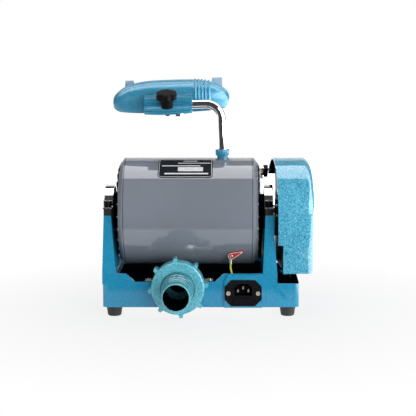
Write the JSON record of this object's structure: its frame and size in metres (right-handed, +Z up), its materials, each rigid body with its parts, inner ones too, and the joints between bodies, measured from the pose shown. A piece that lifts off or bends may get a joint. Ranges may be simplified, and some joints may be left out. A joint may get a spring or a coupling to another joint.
{
  "type": "dental polishing lathe",
  "caption": "Bench polishing lathe: an enclosed motor cradled on a cast base drives a guarded wheel, with a swivelling hooded task lamp and a lugged suction hose connector.",
  "frame": {"origin": "under the middle of the outline, on the plane that the rubber feet stand on", "axes": "+Z up, +X along the motor's shaft towards the wheel, +Y towards the front"},
  "size_m": [0.29, 0.2618, 0.322],
  "materials": {
    "base_paint": "hammered metallic blue paint",
    "guard_paint": "hammered metallic blue paint",
    "hood_plastic": "gloss blue moulding",
    "clamp_paint": "blue painted light alloy",
    "motor_enamel": "glossy grey enamel",
    "bright_steel": "bright steel",
    "chrome_plate": "polished chrome",
    "black_steel": "blackened steel",
    "black_rubber": "matt rubber",
    "zinc_screws": "zinc plated",
    "copper_wire": "enamelled copper",
    "laminations": "stacked sheet",
    "black_plastic": "moulded black",
    "hose_plastic": "moulded blue",
    "abrasive": "bonded grit",
    "lamp_glass": "white coated tube",
    "clear_plastic": "clear sheet",
    "visor_plastic": "hazy blue sheet",
    "red_plastic": "red sleeve",
    "wire_cover": "yellow and green cover",
    "white_plastic": "moulded white",
    "light_alloy": "turned alloy",
    "brass_pins": "nickel plated",
    "fuse_glass": "clear"
  },
  "bodies": {
    "machine": {"base_casting": "base_paint", "base_bottom_plate": "bright_steel", "rubber_feet": "black_rubber", "foot_screws": "zinc_screws", "motor_shell": "motor_enamel", "end_bell_left": "motor_enamel", "end_bell_right": "motor_enamel", "bearing_left": "bright_steel", "bearing_right": "bright_steel", "resilient_ring_left": "black_rubber", "resilient_ring_right": "black_rubber", "strap_left": "chrome_plate", "strap_right": "chrome_plate", "strap_pads": "black_rubber", "strap_screws": "black_steel", "stator_core": "laminations", "stator_windings": "copper_wire", "through_bolts": "zinc_screws", "guard_shell": "guard_paint", "guard_back_plate": "black_steel", "guard_bracket": "black_steel", "guard_screws": "black_steel", "suction_duct": "hose_plastic", "suction_strap": "bright_steel", "hose_nozzle": "hose_plastic", "inlet_body": "black_plastic", "inlet_pins": "brass_pins", "pan_head_screws": "zinc_screws", "switch_housing": "black_plastic", "run_capacitor": "light_alloy", "capacitor_clip": "bright_steel", "terminal_block": "white_plastic", "earth_terminal": "zinc_screws", "earth_tag": "red_plastic", "earth_wire": "wire_cover", "lamp_socket": "chrome_plate"},
    "rotor": {"shaft": "bright_steel", "rotor_core": "laminations", "inner_flange": "light_alloy", "grinding_wheel": "abrasive", "outer_flange": "light_alloy", "arbor_nut": "bright_steel"},
    "lamp_arm": {"lamp_tube": "chrome_plate"},
    "lamp_head": {"lamp_clamp_upper": "clamp_paint", "lamp_clamp_lower": "clamp_paint", "clamp_tie_nut": "chrome_plate", "lamp_hood": "hood_plastic", "lamp_bulb": "lamp_glass", "bulb_base": "white_plastic", "lamp_visor": "visor_plastic"},
    "clamp_knob": {"lamp_knob": "black_plastic"},
    "fuse_tray": {"fuse_drawer": "black_plastic", "fuses": "fuse_glass"},
    "rocker": {"switch_rocker": "black_plastic"},
    "union_nut": {"hose_nut": "hose_plastic"},
    "eye_shield": {"shield_hinge_bar": "chrome_plate", "shield_clips": "black_plastic", "eye_shield_pane": "clear_plastic", "shield_nut": "zinc_screws"}
  },
  "joints": [
    {"name": "rotor_spin", "type": "hinge", "parent": "machine", "child": "rotor", "pos_m": [0.1146, 0.0326, 0.136], "axis": [1, 0, 0], "continuous": true},
    {"name": "lamp_swivel", "type": "hinge", "parent": "machine", "child": "lamp_arm", "pos_m": [0.0191, 0.0326, 0.211], "axis": [-0.0349, 0, 0.9994], "range_deg": [-150, 150]},
    {"name": "lamp_tilt", "type": "hinge", "parent": "lamp_arm", "child": "lamp_head", "pos_m": [-0.03052, 0.0326, 0.28531], "axis": [0.9994, 0, 0.0349], "range_deg": [-40, 45]},
    {"name": "knob_turn", "type": "hinge", "parent": "lamp_head", "child": "clamp_knob", "pos_m": [-0.05746, 0.01397, 0.28291], "axis": [-0.0328, -0.342, 0.9391], "range_deg": [0, 360]},
    {"name": "fuse_tray_slide", "type": "slide", "parent": "machine", "child": "fuse_tray", "axis": [0, -1, 0], "range_m": [0, 0.014]},
    {"name": "rocker_tilt", "type": "hinge", "parent": "machine", "child": "rocker", "pos_m": [-0.0899, 0.1186, 0.0315], "axis": [0, 0, 1], "range_deg": [-12, 12]},
    {"name": "union_nut_turn", "type": "hinge", "parent": "machine", "child": "union_nut", "pos_m": [-0.0404, -0.0589, 0.044], "axis": [0, -1, 0], "range_deg": [0, 360]},
    {"name": "eye_shield_swing", "type": "hinge", "parent": "machine", "child": "eye_shield", "pos_m": [0.08481, 0.0897, 0.1894], "axis": [0.9972, 0.075, 0], "range_deg": [0, 95]}
  ]
}
